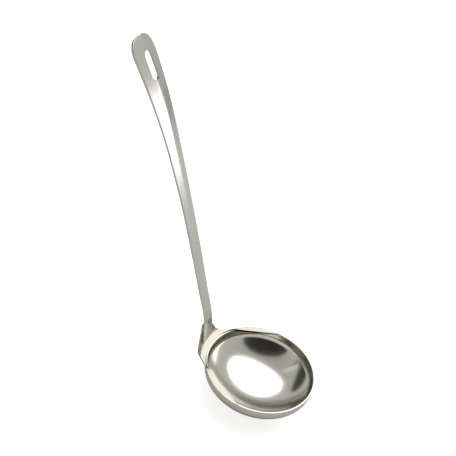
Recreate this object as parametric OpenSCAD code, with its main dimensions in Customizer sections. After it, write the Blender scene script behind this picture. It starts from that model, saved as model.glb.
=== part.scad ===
// Soup ladle: a drawn bowl with a turned-up ear, and a pressed strip handle
// whose foot laps the ear and is held there by two spot welds.
// The origin is the lowest point of the bowl, +Z is up, the handle leans toward -X.

/* [Bowl] */
// Outside diameter of the bowl at its rim
bowl_d = 90; // [70:1:120]
// Height of the bowl from its lowest point to the rim
bowl_h = 28; // [24:1:36]
// Height of the upright wall under the rim
wall_h = 4.1; // [2:0.1:8]
// Outside radius of the bend between the bottom and the wall
knuckle_r = 9; // [6:0.5:12]
// Thickness of the bowl's sheet
bowl_t = 1.5; // [0.8:0.1:2.5]

/* [Ear] */
// Width of the upright tab behind the handle's foot
ear_w = 14.4; // [12:0.2:20]
// Width of the ear's shelf at the foot of the tab
wing_w = 30.4; // [26:0.2:40]
// Width of the ear where it runs out of the rim
ear_root_w = 52; // [46:1:64]
// Distance from the rim to the face of the upright tab
ear_reach = 6; // [4:0.5:9]
// Rise of the ear's shelf from the rim to the tab, in degrees
shelf_rise = 8; // [4:1:20]
// Height of the tab above the bend
tab_h = 18; // [16:1:24]
// Radius of the tab's top corners
tab_corner_r = 5; // [1:0.5:6]
// Inside radius of the bend between shelf and tab
ear_bend_r = 2.5; // [1.5:0.5:4]

/* [Handle] */
// Length of the handle along its front face
handle_l = 252; // [200:1:320]
// Thickness of the handle's sheet
handle_t = 1.5; // [1:0.1:2.5]
// Width of the foot that laps the ear
foot_w = 16.5; // [13:0.5:22]
// Length of the straight foot
foot_l = 18; // [16:0.5:24]
// Height of the foot's end above the middle of the ear's bend
foot_lift = 0.6; // [0.4:0.1:2]
// Width at the narrowest place, above the foot
neck_w = 11.6; // [9:0.2:16]
// Width halfway up
mid_w = 14; // [11:0.5:20]
// Width at the hanging slot
head_w = 27.2; // [22:0.2:36]
// Length of the rounded end
head_end_l = 14.5; // [10:0.5:20]
// Height of the pressed ridge at the head
ridge_h = 2.2; // [0:0.1:4]
// Lean of the foot from the vertical, in degrees
lean_foot = 8; // [0:1:12]
// Lean just above the neck, in degrees
lean_neck = 19.5; // [8:0.5:30]
// Lean halfway up, in degrees
lean_mid = 22; // [8:1:35]
// Lean at the head, in degrees
lean_head = 34.5; // [10:0.5:50]

/* [Hanging slot] */
// Width of the slot
slot_w = 8; // [5:0.5:12]
// Length of the slot over its round ends
slot_l = 21; // [12:0.5:30]
// Distance from the handle's end to the middle of the slot
slot_inset = 21.5; // [18:0.5:30]

/* [Spot welds] */
// Diameter of a weld nugget
weld_d = 4.5; // [3:0.5:6]
// Distance between the two nuggets
weld_pitch = 8; // [6:0.5:10]
// Depth of a nugget in each sheet
weld_depth = 0.5; // [0.2:0.1:0.7]

/* [Hidden] */
steel = "#c9c7c0";
$fn = 96;

rim_r = bowl_d / 2;
// clearance between the faces of the foot and the tab
lap_gap = 0.1;
tab_r = rim_r + ear_reach + lap_gap;
// centre of the bend, radius of the dished bottom that runs into it, and the angle where they meet
knuckle_x = rim_r - knuckle_r;
knuckle_z = bowl_h - wall_h;
dish_r = (pow(knuckle_x, 2) + pow(knuckle_z, 2) - pow(knuckle_r, 2)) / 2 / (knuckle_z - knuckle_r);
knuckle_angle = asin(knuckle_x / (dish_r - knuckle_r));
// rounding of the rim's edge
rim_round = bowl_t * 0.35;
arc_steps = 40;

// points on an arc, from one angle to another
function arc(cx, cz, r, a0, a1, n) =
    [for (i = [0 : n]) let (a = a0 + (a1 - a0) * i / n) [cx + r * cos(a), cz + r * sin(a)]];
// value read off a list of [place, value] pairs, straight between them
function level(s, k, i = 0) =
    s <= k[0][0] ? k[0][1]
    : i >= len(k) - 1 ? k[len(k) - 1][1]
    : s < k[i + 1][0]
        ? k[i][1] + (k[i + 1][1] - k[i][1]) * (s - k[i][0]) / (k[i + 1][0] - k[i][0])
        : level(s, k, i + 1);
// smooth step from 0 at a to 1 at b
function blend(t) = t * t * (3 - 2 * t);
function ease(s, a, b) = blend(min(1, max(0, (s - a) / (b - a))));
// list of points on one side, with its mirror image across the X axis
function both_sides(side) = concat(side, [for (i = [len(side) - 1 : -1 : 0]) [side[i][0], -side[i][1]]]);

// Bowl

// section of the bowl: outer skin up, over the rounded edge, inner skin down
module bowl_section() {
    inner = dish_r - bowl_t;
    dish_end = -90 + knuckle_angle;
    polygon(concat(
        arc(0, dish_r, dish_r, -90, dish_end, arc_steps),
        arc(knuckle_x, knuckle_z, knuckle_r, dish_end, 0, 12),
        arc(rim_r - rim_round, bowl_h - rim_round, rim_round, 0, 90, 4),
        arc(rim_r - bowl_t + rim_round, bowl_h - rim_round, rim_round, 90, 180, 4),
        arc(knuckle_x, knuckle_z, knuckle_r - bowl_t, 0, dish_end, 12),
        arc(0, dish_r, inner, dish_end, -90, arc_steps)
    ));
}

// the shelf starts inside the rim and rises to the bend into the tab
shelf_start = rim_r - bowl_t * 0.6;
bend_x = tab_r - ear_bend_r;
bend_z = bowl_h + (bend_x - shelf_start) * tan(shelf_rise) + ear_bend_r / cos(shelf_rise);
tab_top = bend_z + tab_h;
tab_corner_z = tab_top - tab_corner_r;
// inward run of the ear's sides for each step toward the tab's top
side_run = (wing_w - ear_w) / 2 / (tab_corner_z - bend_z);

// section of the ear: shelf, bend and upright tab, one sheet thick
module ear_section() {
    outer = ear_bend_r + bowl_t;
    top_r = tab_r + tab_h * tan(lean_foot);
    polygon(concat(
        [[shelf_start, bowl_h]],
        arc(bend_x, bend_z, ear_bend_r, -90 + shelf_rise, -lean_foot, 8),
        [[top_r, tab_top], [top_r + bowl_t, tab_top]],
        arc(bend_x, bend_z, outer, -lean_foot, -90 + shelf_rise, 8),
        [[shelf_start, bowl_h - bowl_t]]
    ));
}

// point on a curve that starts at a, is drawn toward b and ends at c
function bow(a, b, c, t) = a * (1 - t) * (1 - t) + b * 2 * t * (1 - t) + c * t * t;

// outline of the ear seen from above: each side leaves the rim on its tangent
// and reaches the bend at the slope that its flank keeps on the tab
module ear_plan() {
    half = ear_root_w / 2;
    wing = wing_w / 2;
    root_x = -sqrt(rim_r * rim_r - half * half);
    rim_slope = -root_x / half;
    meet_x = (wing + side_run * tab_r - half + rim_slope * root_x) / (rim_slope - side_run);
    meet = [meet_x, wing + side_run * (meet_x + tab_r)];
    polygon(both_sides(concat(
        [[root_x + bowl_t, half - bowl_t]],
        [for (i = [0 : 10]) bow([root_x, half], meet, [-tab_r, wing], i / 10)],
        [[-2 * tab_r, wing]]
    )));
}

// outline of the ear seen along X, with its height along the first axis:
// straight flanks run in to the tab's round corners
module tab_outline() {
    wing = wing_w / 2;
    polygon(both_sides(concat(
        [[0, rim_r], [bend_z, rim_r], [bend_z, wing]],
        [for (p = arc(ear_w / 2 - tab_corner_r, tab_corner_z, tab_corner_r, 0, 90, 8)) [p[1], p[0]]]
    )));
}

module ear() {
    intersection() {
        rotate_extrude()
            ear_section();
        linear_extrude(tab_top)
            ear_plan();
        rotate([0, -90, 0])
            linear_extrude(2 * tab_r)
                tab_outline();
    }
}

// Handle

foot_z = bend_z + foot_lift;
foot_x = rim_r + ear_reach - handle_t / cos(lean_foot) + foot_lift * tan(lean_foot);
body_steps = 46;
end_steps = 12;
columns = 12;
body_l = handle_l - head_end_l;
places = concat(
    [for (i = [0 : body_steps - 1]) body_l * i / body_steps],
    [for (i = [0 : end_steps]) body_l + head_end_l * sin(88 * i / end_steps)]
);
lean_marks = [
    [0, lean_foot], [foot_l, lean_foot], [foot_l * 1.9, lean_neck], [handle_l * 0.5, lean_mid],
    [handle_l * 0.72, lean_mid + (lean_head - lean_mid) * 0.2], [handle_l, lean_head]
];
width_marks = [
    [0, foot_w], [foot_l * 0.5, foot_w * 0.87], [foot_l * 1.4, neck_w],
    [handle_l * 0.3, neck_w + (mid_w - neck_w) * 0.55], [handle_l * 0.5, mid_w],
    [handle_l * 0.7, mid_w + (head_w - mid_w) * 0.28], [handle_l * 0.85, mid_w + (head_w - mid_w) * 0.75],
    [handle_l * 0.95, head_w]
];
function lean_at(s) = level(s, lean_marks);
function end_share(s) = max(0, (s - body_l) / head_end_l);
function width_at(s) = level(s, width_marks) * pow(1 - pow(end_share(s), 2.5), 0.4);
function ridge_at(s) = ridge_h * width_at(s) / head_w * ease(s, foot_l, foot_l * 3);
// the front face's middle line as [distance from the axis, height], summed along the lean
function step(k) =
    k == 0 || k >= len(places) ? [0, 0]
    : let (ds = places[k] - places[k - 1], a = lean_at((places[k] + places[k - 1]) / 2))
      [ds * sin(a), ds * cos(a)];
middle = [for (k = 0, q = [foot_x, foot_z]; k < len(places); k = k + 1, q = q + step(k)) q];
function spine_at(s, i = 0) =
    i >= len(places) - 2 || s <= places[i + 1]
    ? let (t = (s - places[i]) / (places[i + 1] - places[i]))
      middle[i] * (1 - t) + middle[i + 1] * t
    : spine_at(s, i + 1);
// rise of the front face over the middle line, for a column t from -1 to 1
// the foot is curved to the tab, the rest falls away from a ridge
function crown(s, t) =
    let (y = t * width_at(s) / 2, foot = 1 - ease(s, foot_l, foot_l * 2))
    foot * y * y / (2 * foot_x) - ridge_at(s) * (sqrt(t * t + 0.01) - 0.1);
function skin(i, t, depth) =
    let (s = places[i], a = lean_at(s), h = crown(s, t) - depth)
    [-middle[i][0] + h * cos(a), t * width_at(s) / 2, middle[i][1] + h * sin(a)];

module strip() {
    n = len(places);
    m = columns + 1;
    front = [for (i = [0 : n - 1]) for (j = [0 : columns]) skin(i, 2 * j / columns - 1, 0)];
    back = [for (i = [0 : n - 1]) for (j = [0 : columns]) skin(i, 2 * j / columns - 1, handle_t)];
    b = n * m;
    faces = concat(
        [for (i = [0 : n - 2]) for (j = [0 : columns - 1])
            each [[i * m + j, i * m + j + 1, (i + 1) * m + j], [i * m + j + 1, (i + 1) * m + j + 1, (i + 1) * m + j]]],
        [for (i = [0 : n - 2]) for (j = [0 : columns - 1])
            each [[b + i * m + j, b + (i + 1) * m + j, b + i * m + j + 1],
                  [b + i * m + j + 1, b + (i + 1) * m + j, b + (i + 1) * m + j + 1]]],
        [for (i = [0 : n - 2])
            each [[i * m, (i + 1) * m, b + i * m], [(i + 1) * m, b + (i + 1) * m, b + i * m]]],
        [for (i = [0 : n - 2]) let (k = i * m + columns)
            each [[k, b + k, k + m], [k + m, b + k, b + k + m]]],
        [for (j = [0 : columns - 1])
            each [[j, b + j, j + 1], [j + 1, b + j, b + j + 1]]],
        [for (j = [0 : columns - 1]) let (k = (n - 1) * m + j)
            each [[k, k + 1, b + k], [k + 1, b + k + 1, b + k]]]
    );
    polyhedron(points = concat(front, back), faces = faces, convexity = 6);
}

// cutter with round ends, square to the handle where the slot is
module slot_cutter() {
    s = handle_l - slot_inset;
    p = spine_at(s);
    run = (slot_l - slot_w) / 2;
    translate([-p[0], 0, p[1]])
        rotate([0, 90 - lean_at(s), 0]) {
            translate([0, 0, -3 * handle_t]) {
                translate([-run, -slot_w / 2, 0])
                    cube([2 * run, slot_w, 8 * handle_t]);
                for (end = [-run, run])
                    translate([end, 0, 0])
                        cylinder(d = slot_w, h = 8 * handle_t);
            }
        }
}

// Spot welds

weld_s = foot_l * 0.4;
module weld_places() {
    p = spine_at(weld_s);
    lap_r = p[0] + handle_t;
    for (side = [-1, 1])
        rotate([0, 0, side * asin(weld_pitch / 2 / lap_r)])
            translate([-lap_r, 0, p[1]])
                rotate([0, -90 - lean_foot, 0])
                    translate([0, 0, -weld_depth])
                        children();
}
module nugget() {
    cylinder(d = weld_d, h = 2 * weld_depth + lap_gap, $fn = 48);
}

module bowl() {
    color(steel)
        difference() {
            union() {
                rotate_extrude()
                    bowl_section();
                ear();
            }
            weld_places()
                nugget();
        }
}

module handle() {
    color(steel)
        difference() {
            strip();
            slot_cutter();
            weld_places()
                nugget();
        }
}

module spot_welds() {
    color(steel)
        weld_places()
            nugget();
}

bowl();
handle();
spot_welds();
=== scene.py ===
# Soup ladle in polished stainless steel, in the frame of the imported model, in metres.
import math
import bpy
import bmesh
from mathutils import Matrix, Vector


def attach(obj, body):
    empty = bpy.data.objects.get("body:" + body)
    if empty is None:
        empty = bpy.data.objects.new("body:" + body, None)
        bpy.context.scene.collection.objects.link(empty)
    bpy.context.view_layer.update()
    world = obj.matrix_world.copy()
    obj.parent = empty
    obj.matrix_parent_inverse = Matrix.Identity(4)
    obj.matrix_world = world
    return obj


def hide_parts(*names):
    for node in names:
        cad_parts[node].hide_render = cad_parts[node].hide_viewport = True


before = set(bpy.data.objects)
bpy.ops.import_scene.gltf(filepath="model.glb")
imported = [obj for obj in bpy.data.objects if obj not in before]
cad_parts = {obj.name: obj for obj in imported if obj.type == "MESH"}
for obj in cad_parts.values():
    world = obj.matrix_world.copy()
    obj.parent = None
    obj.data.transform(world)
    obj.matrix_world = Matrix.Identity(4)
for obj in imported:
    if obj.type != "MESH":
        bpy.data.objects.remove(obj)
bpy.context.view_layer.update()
mm = 0.001

# Sizes of the bowl
rim_r = 45 * mm
bowl_h = 28 * mm
wall_h = 4.1 * mm
knuckle_r = 9 * mm
sheet_t = 1.5 * mm
edge_r = 0.5 * mm

# Sizes of the ear
ear_reach = 6 * mm
lap_gap = 0.1 * mm
tab_r = rim_r + ear_reach + lap_gap
ear_bend_r = 2.5 * mm
shelf_rise = math.radians(8)
tab_h = 18 * mm
tab_corner_r = 5 * mm
ear_half = 7.2 * mm
wing_half = 15.2 * mm
ear_root_half = 26 * mm

# Sizes of the handle, with its leans from the vertical in degrees
handle_l = 252 * mm
foot_w = 16.5 * mm
foot_l = 18 * mm
foot_lift = 0.6 * mm
neck_w = 11.6 * mm
mid_w = 14 * mm
head_w = 27.2 * mm
head_end_l = 14.5 * mm
ridge_h = 2.2 * mm
corner_r = 0.35 * mm
lean_foot = 8
lean_neck = 19.5
lean_mid = 22
lean_head = 34.5
slot_w = 8 * mm
slot_l = 21 * mm
slot_inset = 21.5 * mm

# Fineness of the meshes
dish_steps = 44
knuckle_steps = 16
edge_steps = 6
bowl_turns = 256
shelf_steps = 10
bend_steps = 12
tab_steps = 24
ear_columns = 28
body_steps = 340
end_steps = 40
handle_columns = 32
slot_steps = 24
card_steps = 48
merge_dist = 0.001 * mm
tiny = 0.01 * mm
sharp_angle = 40
flat_angle = 30

# Camera of the photograph: it looks at the ladle from its side and from above, rolled
photo_px = 456
sensor_mm = 36
cam_azimuth = math.radians(16.66)
cam_elevation = math.radians(37.15)
cam_roll = math.radians(13.91)
cam_distance = 600 * mm
cam_focal_px = 746.35
rim_centre_px = (260.8, 367.6)


def smooth(value):
    t = min(1.0, max(0.0, value))
    return t * t * (3 - 2 * t)


def level(s, marks):
    """Value at s between marks of place and value, straight from one to the next."""
    if s <= marks[0][0]:
        return marks[0][1]
    for (a, va), (b, vb) in zip(marks, marks[1:]):
        if s < b:
            return va + (vb - va) * (s - a) / (b - a)
    return marks[-1][1]


def soft_level(s, marks, reach):
    """The same, averaged over a stretch, so that it has no kinks."""
    n = 9
    total = sum(level(s + reach * (2 * k / (n - 1) - 1), marks) for k in range(n))
    return total / n


def arc(cx, cz, r, a0, a1, n):
    return [(cx + r * math.cos(a0 + (a1 - a0) * i / n), cz + r * math.sin(a0 + (a1 - a0) * i / n))
            for i in range(n + 1)]


def between(a, b, t):
    return (a[0] + (b[0] - a[0]) * t, a[1] + (b[1] - a[1]) * t)


def new_mesh(name, verts, faces, smooth_angle):
    mesh = bpy.data.meshes.new(name)
    mesh.from_pydata(verts, [], faces)
    bm = bmesh.new()
    bm.from_mesh(mesh)
    bmesh.ops.remove_doubles(bm, verts=bm.verts, dist=merge_dist)
    bmesh.ops.recalc_face_normals(bm, faces=bm.faces)
    bm.to_mesh(mesh)
    bm.free()
    mesh.shade_smooth()
    mesh.set_sharp_from_angle(angle=math.radians(smooth_angle))
    piece = bpy.data.objects.new(name, mesh)
    bpy.context.collection.objects.link(piece)
    return piece


def sheet_faces(rows, columns):
    """Faces of a closed sheet whose points are its front, row by row, and then its back."""
    faces = []
    m = columns + 1
    base = rows * m
    for i in range(rows - 1):
        for j in range(columns):
            k = i * m + j
            faces.append((k, k + 1, k + m + 1, k + m))
            faces.append((base + k, base + k + m, base + k + m + 1, base + k + 1))
        for j in (0, columns):
            k = i * m + j
            faces.append((k, k + m, base + k + m, base + k))
    for i in (0, rows - 1):
        for j in range(columns):
            k = i * m + j
            faces.append((k, base + k, base + k + 1, k + 1))
    return faces


# Bowl

knuckle_x = rim_r - knuckle_r
knuckle_z = bowl_h - wall_h
dish_r = (knuckle_x ** 2 + knuckle_z ** 2 - knuckle_r ** 2) / 2 / (knuckle_z - knuckle_r)
meet = math.asin(knuckle_x / (dish_r - knuckle_r))


def bowl_rings():
    """Section as radius and height: from the inside middle up, over the edge, and down outside."""
    low = -math.pi / 2
    dish_end = low + meet
    inside = arc(0, dish_r, dish_r - sheet_t, low, dish_end, dish_steps)[1:]
    inside += arc(knuckle_x, knuckle_z, knuckle_r - sheet_t, dish_end, 0, knuckle_steps)[1:]
    over = arc(rim_r - sheet_t + edge_r, bowl_h - edge_r, edge_r, math.pi, math.pi / 2, edge_steps)
    over += arc(rim_r - edge_r, bowl_h - edge_r, edge_r, math.pi / 2, 0, edge_steps)
    outside = arc(knuckle_x, knuckle_z, knuckle_r, 0, dish_end, knuckle_steps)
    outside += arc(0, dish_r, dish_r, dish_end, low, dish_steps)[1:-1]
    return inside + over + outside


def bowl_shell():
    rings = bowl_rings()
    verts = [(0, 0, sheet_t)]
    for r, z in rings:
        for k in range(bowl_turns):
            a = 2 * math.pi * k / bowl_turns
            verts.append((r * math.cos(a), r * math.sin(a), z))
    verts.append((0, 0, 0))
    faces = []
    for k in range(bowl_turns):
        n = (k + 1) % bowl_turns
        faces.append((0, 1 + k, 1 + n))
        for i in range(len(rings) - 1):
            a = 1 + i * bowl_turns
            faces.append((a + k, a + bowl_turns + k, a + bowl_turns + n, a + n))
        last = 1 + (len(rings) - 1) * bowl_turns
        faces.append((last + k, len(verts) - 1, last + n))
    return verts, faces


# Ear

# the shelf starts inside the rim
shelf_start = rim_r - sheet_t * 0.6
bend_x = tab_r - ear_bend_r
bend_z = bowl_h + (bend_x - shelf_start) * math.tan(shelf_rise) + ear_bend_r / math.cos(shelf_rise)
tab_top = bend_z + tab_h
tab_corner_z = tab_top - tab_corner_r
# the flanks of the tab begin in the upper half of the bend
flank_z = bend_z - ear_bend_r * 0.5
# inward run of the ear's sides for each step toward the tab's top
side_run = (wing_half - ear_half) / (tab_corner_z - bend_z)
# the ear's side leaves the rim at the root and runs toward this point
root_x = math.sqrt(rim_r ** 2 - ear_root_half ** 2)
rim_slope = root_x / ear_root_half
meet_x = (rim_slope * root_x + ear_root_half - wing_half - side_run * tab_r) / (rim_slope - side_run)
meet_y = wing_half + side_run * (tab_r - meet_x)


def ear_path():
    """Front face of the ear as radius and height, from the rim to the top of the tab."""
    lean = math.radians(lean_foot)
    start = (shelf_start, bowl_h)
    bend = arc(bend_x, bend_z, ear_bend_r, -math.pi / 2 + shelf_rise, -lean, bend_steps)
    top = (tab_r + tab_h * math.tan(lean), tab_top)
    shelf = [between(start, bend[0], k / shelf_steps) for k in range(shelf_steps)]
    tab = [between(bend[-1], top, k / tab_steps) for k in range(1, tab_steps + 1)]
    return shelf + bend + tab


def ear_side(x):
    """Half the ear's width seen from above, at a distance x from the bowl's axis."""
    if x <= root_x:
        return math.sqrt(max(0.0, rim_r ** 2 - x ** 2))
    if x >= tab_r:
        return wing_half
    # the share of the curve at which it passes x: root, meeting point and bend shape it
    a = root_x - 2 * meet_x + tab_r
    b = 2 * (meet_x - root_x)
    c = root_x - x
    share = (-b + math.sqrt(b * b - 4 * a * c)) / (2 * a)
    return ear_root_half * (1 - share) ** 2 + meet_y * 2 * share * (1 - share) + wing_half * share ** 2


def side_on_ring(r):
    """Half-width at which the ring of radius r passes the ear's side, found by halving."""
    low, high = 0.0, r
    for _ in range(40):
        y = (low + high) / 2
        if ear_side(math.sqrt(r * r - y * y)) > y:
            low = y
        else:
            high = y
    return low


def ear_half_width(z, r):
    """Half the ear's width on the ring of radius r and height z: side on the shelf, flank on the tab."""
    if z > tab_corner_z:
        over = tab_corner_r - (tab_top - z)
        flank = ear_half - tab_corner_r + math.sqrt(max(0.0, tab_corner_r ** 2 - over ** 2))
    elif z > flank_z:
        flank = ear_half + side_run * (tab_corner_z - z)
    else:
        return side_on_ring(r)
    return min(flank, side_on_ring(r))


def soft_rows(rows):
    """Evens out the half-widths round the bend, so that the side has no corner there."""
    reach = 7
    out = list(rows)
    for i in range(shelf_steps + 2, len(rows) - 2 * reach):
        near = [rows[k][3] for k in range(max(shelf_steps, i - reach), i + reach + 1)]
        out[i] = (*rows[i][:3], min(rows[i][3], sum(near) / len(near)))
    return out


def ear_sheet():
    path = ear_path()
    rows = []
    for i, (r, z) in enumerate(path):
        a = path[max(i - 1, 0)]
        b = path[min(i + 1, len(path) - 1)]
        along = math.hypot(b[0] - a[0], b[1] - a[1])
        normal = ((b[1] - a[1]) / along, -(b[0] - a[0]) / along)
        rows.append((r, z, normal, ear_half_width(z, r)))
    verts = []
    for depth in (0, sheet_t):
        for r, z, (nr, nz), half in soft_rows(rows):
            for j in range(ear_columns + 1):
                turn = math.asin(half * (2 * j / ear_columns - 1) / r)
                rr = r + nr * depth
                verts.append((-rr * math.cos(turn), rr * math.sin(turn), z + nz * depth))
    return verts, sheet_faces(len(rows), ear_columns)


# Handle

foot_z = bend_z + foot_lift
foot_lean = math.radians(lean_foot)
foot_x = rim_r + ear_reach - sheet_t / math.cos(foot_lean) + foot_lift * math.tan(foot_lean)
body_l = handle_l - head_end_l
lean_marks = [
    (0, lean_foot), (foot_l, lean_foot), (foot_l * 1.9, lean_neck), (handle_l * 0.5, lean_mid),
    (handle_l * 0.72, lean_mid + (lean_head - lean_mid) * 0.2), (handle_l, lean_head)]
width_marks = [
    (0, foot_w), (foot_l * 0.5, foot_w * 0.87), (foot_l * 1.4, neck_w),
    (handle_l * 0.3, neck_w + (mid_w - neck_w) * 0.55), (handle_l * 0.5, mid_w),
    (handle_l * 0.7, mid_w + (head_w - mid_w) * 0.28),
    (handle_l * 0.85, mid_w + (head_w - mid_w) * 0.75), (handle_l * 0.95, head_w)]
lean_reach = 6 * mm
width_reach = 9 * mm


def lean_at(s):
    return math.radians(soft_level(s, lean_marks, min(lean_reach, s + tiny)))


def width_at(s):
    share = max(0.0, (s - body_l) / head_end_l)
    end = (1 - share ** 2.5) ** 0.4
    return soft_level(s, width_marks, min(width_reach, s + tiny)) * end


def ridge_at(s):
    return ridge_h * width_at(s) / head_w * smooth((s - foot_l) / (2 * foot_l))


def handle_places():
    """Distances from the foot's end, crowding toward the tip of the rounded end."""
    body = [body_l * i / body_steps for i in range(body_steps)]
    last = math.radians(88)
    end = [body_l + head_end_l * math.sin(last * i / end_steps) for i in range(end_steps + 1)]
    return body + end


def spine(places):
    """Middle line of the front face, summed along the lean."""
    x, z = foot_x, foot_z
    points = [(x, z)]
    for a, b in zip(places, places[1:]):
        lean = lean_at((a + b) / 2)
        x += (b - a) * math.sin(lean)
        z += (b - a) * math.cos(lean)
        points.append((x, z))
    return points


def crown(s, t):
    """Rise over the middle line: the foot curves to the tab, the rest falls away from a ridge."""
    y = t * width_at(s) / 2
    foot = 1 - smooth((s - foot_l) / foot_l)
    return foot * y * y / (2 * foot_x) - ridge_at(s) * (math.sqrt(t * t + 0.01) - 0.1)


def handle_strip(places, points):
    # columns crowd towards both edges, where the sheet's corners are rounded
    shares = [math.sin(math.pi / 2 * (2 * j / handle_columns - 1)) for j in range(handle_columns + 1)]
    verts = []
    for depth in (0, sheet_t):
        for (x, z), s in zip(points, places):
            lean = lean_at(s)
            half = width_at(s) / 2
            for t in shares:
                edge = max(0.0, corner_r - (1 - abs(t)) * half)
                inset = corner_r - math.sqrt(max(0.0, corner_r * corner_r - edge * edge))
                h = crown(s, t) - depth + (-inset if depth == 0 else inset)
                verts.append((-x + h * math.cos(lean), t * half, z + h * math.sin(lean)))
    return verts, sheet_faces(len(places), handle_columns)


def slot_tool(places, points):
    """A prism with round ends, square to the handle at the slot's middle."""
    s = handle_l - slot_inset
    i = max(k for k, place in enumerate(places) if place <= s)
    t = (s - places[i]) / (places[i + 1] - places[i])
    x = points[i][0] * (1 - t) + points[i + 1][0] * t
    z = points[i][1] * (1 - t) + points[i + 1][1] * t
    lean = lean_at(s)
    run = (slot_l - slot_w) / 2
    reach = 8 * mm
    outline = [(run * side + slot_w / 2 * math.cos(a), slot_w / 2 * math.sin(a))
               for side, start in ((1, -90), (-1, 90))
               for a in [math.radians(start + 180 * k / slot_steps) for k in range(slot_steps + 1)]]
    along = Vector((-math.sin(lean), 0, math.cos(lean)))
    front = Vector((math.cos(lean), 0, math.sin(lean)))
    across = Vector((0, 1, 0))
    centre = Vector((-x, 0, z))
    n = len(outline)
    verts = [tuple(centre + along * u + across * v + front * h)
             for h in (-reach, reach) for u, v in outline]
    faces = [tuple(range(n)), tuple(range(2 * n - 1, n - 1, -1))]
    faces += [(k, k + n, (k + 1) % n + n, (k + 1) % n) for k in range(n)]
    return new_mesh("slot_tool", verts, faces, flat_angle)


def cut(piece, tool):
    """Takes the tool out of the piece and applies the result to its mesh."""
    mod = piece.modifiers.new("cut", "BOOLEAN")
    mod.object = tool
    mod.operation = "DIFFERENCE"
    mod.solver = "EXACT"
    depsgraph = bpy.context.evaluated_depsgraph_get()
    mesh = bpy.data.meshes.new_from_object(piece.evaluated_get(depsgraph))
    piece.modifiers.clear()
    piece.data = mesh
    bpy.data.objects.remove(tool)
    mesh.shade_smooth()
    mesh.set_sharp_from_angle(angle=math.radians(sharp_angle))


# Materials

def node(tree, kind, **inputs):
    item = tree.nodes.new(kind)
    for key, value in inputs.items():
        item.inputs[key.replace("_", " ")].default_value = value
    return item


def steel(name, colour, rough, rough_spread, grain, bump):
    """Stainless steel: a warm grey metal, with polishing marks in its roughness and a faint bump."""
    mat = bpy.data.materials.new(name)
    mat.use_nodes = True
    tree = mat.node_tree
    shader = tree.nodes["Principled BSDF"]
    shader.inputs["Metallic"].default_value = 1.0
    place = tree.nodes.new("ShaderNodeTexCoord")
    scale = node(tree, "ShaderNodeMapping", Scale=grain)
    tree.links.new(place.outputs["Object"], scale.inputs["Vector"])
    # marks of the polish
    noise = node(tree, "ShaderNodeTexNoise", Scale=1.0, Detail=6.0, Roughness=0.6)
    tree.links.new(scale.outputs["Vector"], noise.inputs["Vector"])
    spread = node(tree, "ShaderNodeMapRange", To_Min=rough - rough_spread, To_Max=rough + rough_spread)
    tree.links.new(noise.outputs["Fac"], spread.inputs["Value"])
    tree.links.new(spread.outputs["Result"], shader.inputs["Roughness"])
    # slow change of colour between sockets A (6) and B (7) of the colour mix
    tint = tree.nodes.new("ShaderNodeMix")
    tint.data_type = "RGBA"
    tint.inputs[6].default_value = (*[c * 0.95 for c in colour], 1)
    tint.inputs[7].default_value = (*colour, 1)
    cloud = node(tree, "ShaderNodeTexNoise", Scale=40.0, Detail=3.0)
    tree.links.new(place.outputs["Object"], cloud.inputs["Vector"])
    tree.links.new(cloud.outputs["Fac"], tint.inputs[0])
    tree.links.new(tint.outputs[2], shader.inputs["Base Color"])
    relief = node(tree, "ShaderNodeBump", Strength=bump, Distance=0.02 * mm)
    tree.links.new(noise.outputs["Fac"], relief.inputs["Height"])
    tree.links.new(relief.outputs["Normal"], shader.inputs["Normal"])
    return mat


def matt(name, colour, shown):
    """Matt surface. The white named shown is added for the camera only, so that a floor stays white."""
    mat = bpy.data.materials.new(name)
    mat.use_nodes = True
    tree = mat.node_tree
    shader = tree.nodes["Principled BSDF"]
    shader.inputs["Base Color"].default_value = (*colour, 1)
    shader.inputs["Roughness"].default_value = 0.9
    shader.inputs["Emission Color"].default_value = (1, 1, 1, 1)
    path = tree.nodes.new("ShaderNodeLightPath")
    gain = node(tree, "ShaderNodeMath")
    gain.operation = "MULTIPLY"
    gain.inputs[1].default_value = shown
    tree.links.new(path.outputs["Is Camera Ray"], gain.inputs[0])
    tree.links.new(gain.outputs[0], shader.inputs["Emission Strength"])
    return mat


bowl_steel = steel("bowl_steel", (0.82, 0.80, 0.745), 0.17, 0.05, (300, 300, 300), 0.06)
# the ear is duller than the bowl, and its darker colour is painted shade, standing in for the darker
# reflections on the shelf
ear_steel_painted_shade = steel("ear_steel_painted_shade", (0.50, 0.485, 0.42), 0.24, 0.06, (600, 600, 600), 0.10)
# the grain of the handle runs along it
handle_steel = steel("handle_steel", (0.76, 0.755, 0.73), 0.19, 0.06, (2500, 2500, 120), 0.12)
weld_steel = steel("weld_steel", (0.62, 0.61, 0.60), 0.4, 0.08, (900, 900, 900), 0.2)

# Pieces

bowl = new_mesh("bowl_shell", *bowl_shell(), sharp_angle)
ear = new_mesh("bowl_ear", *ear_sheet(), sharp_angle)
places = handle_places()
points = spine(places)
handle = new_mesh("handle_strip", *handle_strip(places, points), sharp_angle)
cut(handle, slot_tool(places, points))
# the ear takes the bowl's steel in a darker copy, whose colour is painted shade
for piece, material, slot_name in (
        (bowl, bowl_steel, "bowl_steel"),
        (ear, ear_steel_painted_shade, "bowl_steel"),
        (handle, handle_steel, "handle_steel")):
    piece.data.materials.clear()
    piece.data.materials.append(material)
    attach(piece, "root")
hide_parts("bowl")
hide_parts("handle")
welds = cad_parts["spot_welds"]
welds.data.materials.clear()
welds.data.materials.append(weld_steel)

# Floor and light

floor_half = 3.0
floor = new_mesh("floor", [(-floor_half, -floor_half, 0), (floor_half, -floor_half, 0),
                           (floor_half, floor_half, 0), (-floor_half, floor_half, 0)],
                 [(0, 1, 2, 3)], flat_angle)
floor.data.materials.append(matt("floor_white", (0.62, 0.62, 0.60), 0.75))

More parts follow.
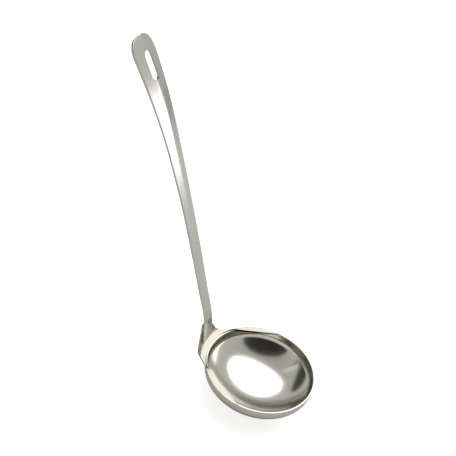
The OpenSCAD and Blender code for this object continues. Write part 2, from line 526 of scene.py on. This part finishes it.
# brightness of the room by height, from the horizon to overhead
room_levels = [(0.0, 0.50), (0.25, 0.55), (0.55, 0.50), (0.85, 0.40), (1.0, 0.40)]
world = bpy.data.worlds.new("studio")
bpy.context.scene.world = world
world.use_nodes = True
room = world.node_tree
heading = room.nodes.new("ShaderNodeTexCoord")
parts = room.nodes.new("ShaderNodeSeparateXYZ")
room.links.new(heading.outputs["Generated"], parts.inputs["Vector"])
ramp = room.nodes.new("ShaderNodeValToRGB")
stops = ramp.color_ramp.elements
while len(stops) < len(room_levels):
    stops.new(0.5)
for stop, (height, value) in zip(stops, room_levels):
    stop.position = height
    stop.color = (value, value * 0.99, value * 0.93, 1)
room.links.new(parts.outputs["Z"], ramp.inputs["Fac"])
room.links.new(ramp.outputs["Color"], room.nodes["Background"].inputs["Color"])
room.nodes["Background"].inputs["Strength"].default_value = 1.0


def face_to(thing, place, aim, front):
    """Puts a lamp or card in its place, with its front axis turned to the aim."""
    thing.location = place
    thing.rotation_euler = (Vector(aim) - Vector(place)).to_track_quat(front, "Y").to_euler()


def soft_lamp(name, place, aim, size, power):
    light = bpy.data.lights.new(name, "AREA")
    light.shape = "ELLIPSE"
    light.size, light.size_y = size
    light.energy = power
    lamp = bpy.data.objects.new(name, light)
    bpy.context.collection.objects.link(lamp)
    face_to(lamp, place, aim, "-Z")


def card(name, place, aim, size, shade):
    """A staged round card that shows only as a reflection."""
    turns = [2 * math.pi * k / card_steps for k in range(card_steps)]
    rim = [(size[0] / 2 * math.cos(a), size[1] / 2 * math.sin(a), 0) for a in turns]
    piece = new_mesh(name, rim, [tuple(range(len(rim)))], flat_angle)
    face_to(piece, place, aim, "Z")
    piece.data.materials.append(matt(name, (shade, shade, shade), 0.0))


# the big round light in the bowl, and the light along the handle's left side
in_bowl = (0, 0, 0.03)
soft_lamp("top_box", (0.02, 0.55, 1.15), in_bowl, (2.0, 1.5), 11)
soft_lamp("low_box", (1.3, 0.9, 0.28), (-0.1, 0, 0.2), (1.3, 0.52), 2.2)
# the dark shapes in the far and the right side of the bowl
card("dark_card", (0.24, -0.78, 1.14), in_bowl, (2.1, 0.9), 0.015)
card("side_card", (-1.3, 0.1, 0.72), in_bowl, (1.5, 0.42), 0.02)

# Camera

right = Vector((math.cos(cam_azimuth), math.sin(cam_azimuth), 0))
back = Vector((math.sin(cam_azimuth) * math.cos(cam_elevation),
               -math.cos(cam_azimuth) * math.cos(cam_elevation), math.sin(cam_elevation)))
up = back.cross(right)
cam_right = right * math.cos(cam_roll) + up * math.sin(cam_roll)
cam_up = -right * math.sin(cam_roll) + up * math.cos(cam_roll)
px_scale = cam_focal_px / cam_distance
shift_right = (photo_px / 2 - rim_centre_px[0]) / px_scale
shift_up = (rim_centre_px[1] - photo_px / 2) / px_scale
eye = Vector((0, 0, bowl_h)) + back * cam_distance + cam_right * shift_right + cam_up * shift_up
camera = bpy.data.cameras.new("camera")
camera.sensor_width = sensor_mm
camera.lens = sensor_mm * cam_focal_px / photo_px
camera.clip_start = 10 * mm
camera_object = bpy.data.objects.new("camera", camera)
bpy.context.collection.objects.link(camera_object)
axes = Matrix((cam_right, cam_up, back)).transposed().to_4x4()
camera_object.matrix_world = Matrix.Translation(eye) @ axes
bpy.context.scene.camera = camera_object
bpy.context.scene.view_settings.view_transform = "Standard"
